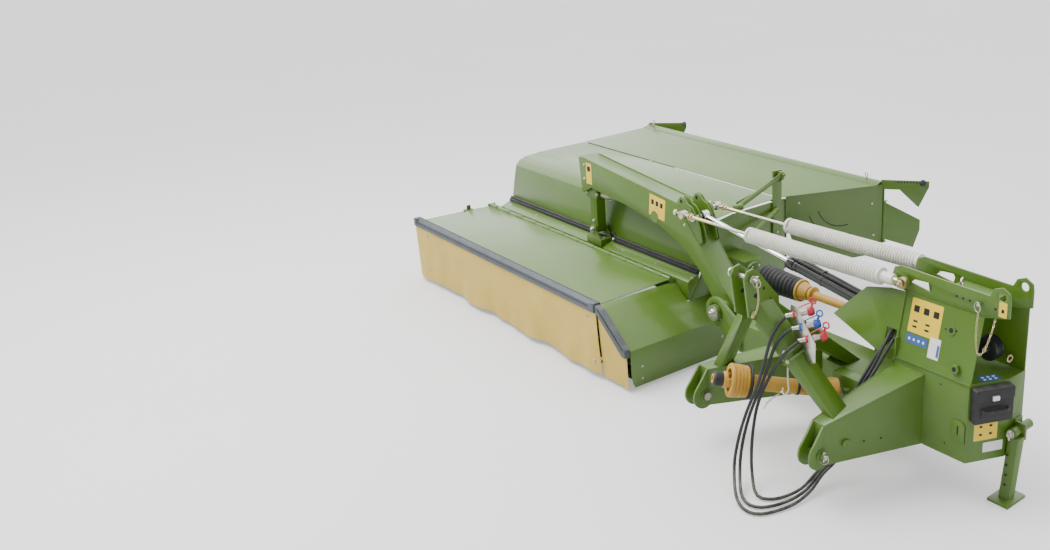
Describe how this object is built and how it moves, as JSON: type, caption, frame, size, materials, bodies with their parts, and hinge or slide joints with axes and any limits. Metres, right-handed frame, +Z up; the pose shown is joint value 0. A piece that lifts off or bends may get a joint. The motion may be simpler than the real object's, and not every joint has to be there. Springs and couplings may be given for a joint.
{
  "type": "disc mower conditioner",
  "caption": "Rear-mounted disc mower conditioner with folding boom, tine conditioner, hinged front curtain, relief springs and stand leg.",
  "frame": {"origin": "middle of the footprint at floor level, hydraulic hoses left out", "axes": "+X to the left of the tractor driver, along the cutterbar; +Y to the rear of the machine; +Z up"},
  "size_m": [5.085, 2.8683, 1.16],
  "materials": {
    "green_paint": "semi gloss",
    "bead_rubber": "satin",
    "curtain_cloth": "coated weave",
    "guard_plastic": "satin",
    "zinc": "zinc plated",
    "spring_paint": "gloss",
    "black_paint": "gloss",
    "chrome_rod": "polished",
    "black_rubber": "matte",
    "worn_steel": "worn"
  },
  "bodies": {
    "headstock": {"cross_beam": "green_paint", "lower_arm_near": "green_paint", "lower_arm_far": "green_paint", "mast": "green_paint", "drive_body": "green_paint", "spring_rail": "green_paint", "input_gearbox": "green_paint", "transfer_case": "green_paint", "pivot_pin": "zinc", "pto_guard": "guard_plastic", "shaft_inner": "guard_plastic", "coupler_holder": "zinc", "hose_1": "black_rubber", "hose_2": "black_rubber", "hose_3": "black_rubber"},
    "pto_shaft": {"pto_yoke": "guard_plastic"},
    "stand": {"stand_leg": "green_paint"},
    "boom_arm": {"boom": "green_paint", "hanger": "green_paint"},
    "deck": {"deck_frame": "green_paint", "cutter_bar": "green_paint", "conditioner_hood": "green_paint", "rear_cover": "green_paint", "hood_post": "green_paint", "deck_gearbox": "green_paint", "hanger_bracket": "green_paint", "guard_near": "green_paint", "corner_bead": "bead_rubber", "corner_curtain": "curtain_cloth"},
    "conditioner": {"conditioner_rotor": "worn_steel"},
    "flap": {"front_flap": "green_paint", "edge_bead": "bead_rubber", "front_curtain": "curtain_cloth"},
    "far_guard": {"guard_far": "green_paint"},
    "near_swath": {"swath_plate_near": "green_paint"},
    "far_swath": {"swath_plate_far": "green_paint"},
    "lift_barrel": {"cylinder_barrel": "black_paint"},
    "lift_rod": {"cylinder_rod": "chrome_rod"},
    "relief_spring_front": {"spring_front": "spring_paint"},
    "relief_rod_front": {"spring_rod_front": "zinc"},
    "relief_spring_rear": {"spring_rear": "spring_paint"},
    "relief_rod_rear": {"spring_rod_rear": "zinc"},
    "deck_shaft": {"shaft_outer": "guard_plastic", "shaft_bellows": "black_rubber"},
    "disc_1": {"rotor_1": "worn_steel"},
    "disc_2": {"rotor_2": "worn_steel"},
    "disc_3": {"rotor_3": "worn_steel"},
    "disc_4": {"rotor_4": "worn_steel"},
    "disc_5": {"rotor_5": "worn_steel"},
    "disc_6": {"rotor_6": "worn_steel"}
  },
  "joints": [
    {"name": "boom_fold", "type": "hinge", "parent": "headstock", "child": "boom_arm", "pos_m": [0.5065, -0.5062, 0.467], "axis": [0, 1, 0], "range_deg": [-10, 75]},
    {"name": "deck_tilt", "type": "hinge", "parent": "boom_arm", "child": "deck", "pos_m": [-0.9475, -0.5122, 0.64], "axis": [0, 1, 0], "range_deg": [-6, 6]},
    {"name": "flap_open", "type": "hinge", "parent": "deck", "child": "flap", "pos_m": [-1.1875, -0.5862, 0.512], "axis": [-1, 0, 0], "range_deg": [0, 80]},
    {"name": "far_guard_fold", "type": "hinge", "parent": "deck", "child": "far_guard", "pos_m": [-2.3985, -0.8472, 0.4745], "axis": [0, 1, 0], "range_deg": [0, 100]},
    {"name": "stand_swing", "type": "hinge", "parent": "headstock", "child": "stand", "pos_m": [2.4925, -0.4572, 0.372], "axis": [0, -1, 0], "range_deg": [0, 90]},
    {"name": "near_swath_swing", "type": "hinge", "parent": "deck", "child": "near_swath", "pos_m": [0.3825, 1.0648, 0.64], "axis": [0, 0, 1], "range_deg": [-20, 20]},
    {"name": "far_swath_swing", "type": "hinge", "parent": "deck", "child": "far_swath", "pos_m": [-2.3675, 1.0648, 0.64], "axis": [0, 0, 1], "range_deg": [-20, 20]},
    {"name": "conditioner_spin", "type": "hinge", "parent": "deck", "child": "conditioner", "pos_m": [-1.0875, -0.0972, 0.56], "axis": [1, 0, 0], "continuous": true},
    {"name": "disc_1_spin", "type": "hinge", "parent": "deck", "child": "disc_1", "pos_m": [-2.2175, -0.8472, 0.1], "axis": [0, 0, 1], "continuous": true},
    {"name": "disc_2_spin", "type": "hinge", "parent": "deck", "child": "disc_2", "pos_m": [-1.7755, -0.8472, 0.1], "axis": [0, 0, 1], "continuous": true},
    {"name": "disc_3_spin", "type": "hinge", "parent": "deck", "child": "disc_3", "pos_m": [-1.3335, -0.8472, 0.1], "axis": [0, 0, 1], "continuous": true},
    {"name": "disc_4_spin", "type": "hinge", "parent": "deck", "child": "disc_4", "pos_m": [-0.8915, -0.8472, 0.1], "axis": [0, 0, 1], "continuous": true},
    {"name": "disc_5_spin", "type": "hinge", "parent": "deck", "child": "disc_5", "pos_m": [-0.4495, -0.8472, 0.1], "axis": [0, 0, 1], "continuous": true},
    {"name": "disc_6_spin", "type": "hinge", "parent": "deck", "child": "disc_6", "pos_m": [-0.0075, -0.8472, 0.1], "axis": [0, 0, 1], "continuous": true},
    {"name": "pto_spin", "type": "hinge", "parent": "headstock", "child": "pto_shaft", "pos_m": [1.2665, -1.3472, 0.525], "axis": [0.5095, 0.8354, -0.2062], "continuous": true},
    {"name": "deck_shaft_slide", "type": "slide", "parent": "headstock", "child": "deck_shaft", "axis": [1, 0, 0], "range_m": [-0.035, 0.24]},
    {"name": "lift_barrel_swing", "type": "hinge", "parent": "headstock", "child": "lift_barrel", "pos_m": [2.0325, -0.4972, 0.715], "axis": [0, 1, 0], "range_deg": [-1, 3]},
    {"name": "lift_rod_slide", "type": "slide", "parent": "lift_barrel", "child": "lift_rod", "axis": [-0.9892, 0, 0.1464], "range_m": [-0.74, 0.1]},
    {"name": "relief_front_swing", "type": "hinge", "parent": "headstock", "child": "relief_spring_front", "pos_m": [1.9125, -0.6392, 1.042], "axis": [0, 1, 0], "range_deg": [-2, 1]},
    {"name": "relief_front_slide", "type": "slide", "parent": "relief_spring_front", "child": "relief_rod_front", "axis": [-0.9999, 0, -0.0172], "range_m": [-0.78, 0.11], "deforming": ["spring_front"]},
    {"name": "relief_rear_swing", "type": "hinge", "parent": "headstock", "child": "relief_spring_rear", "pos_m": [1.9125, -0.3572, 1.054], "axis": [0, 1, 0], "range_deg": [-2, 1]},
    {"name": "relief_rear_slide", "type": "slide", "parent": "relief_spring_rear", "child": "relief_rod_rear", "axis": [-0.9997, 0, -0.0241], "range_m": [-0.78, 0.11], "deforming": ["spring_rear"]}
  ],
  "couplings": [
    {"joint": "deck_shaft_slide", "follows": "boom_fold", "m_per_rad": 0.18},
    {"joint": "lift_barrel_swing", "follows": "boom_fold", "ratio": 0.03},
    {"joint": "lift_rod_slide", "follows": "boom_fold", "m_per_rad": -0.556},
    {"joint": "relief_front_swing", "follows": "boom_fold", "ratio": -0.02},
    {"joint": "relief_front_slide", "follows": "boom_fold", "m_per_rad": -0.585},
    {"joint": "relief_rear_swing", "follows": "boom_fold", "ratio": -0.02},
    {"joint": "relief_rear_slide", "follows": "boom_fold", "m_per_rad": -0.585},
    {"joint": "disc_1_spin", "follows": "conditioner_spin", "ratio": 3.3},
    {"joint": "disc_2_spin", "follows": "conditioner_spin", "ratio": -3.3},
    {"joint": "disc_3_spin", "follows": "conditioner_spin", "ratio": 3.3},
    {"joint": "disc_4_spin", "follows": "conditioner_spin", "ratio": -3.3},
    {"joint": "disc_5_spin", "follows": "conditioner_spin", "ratio": 3.3},
    {"joint": "disc_6_spin", "follows": "conditioner_spin", "ratio": -3.3}
  ]
}
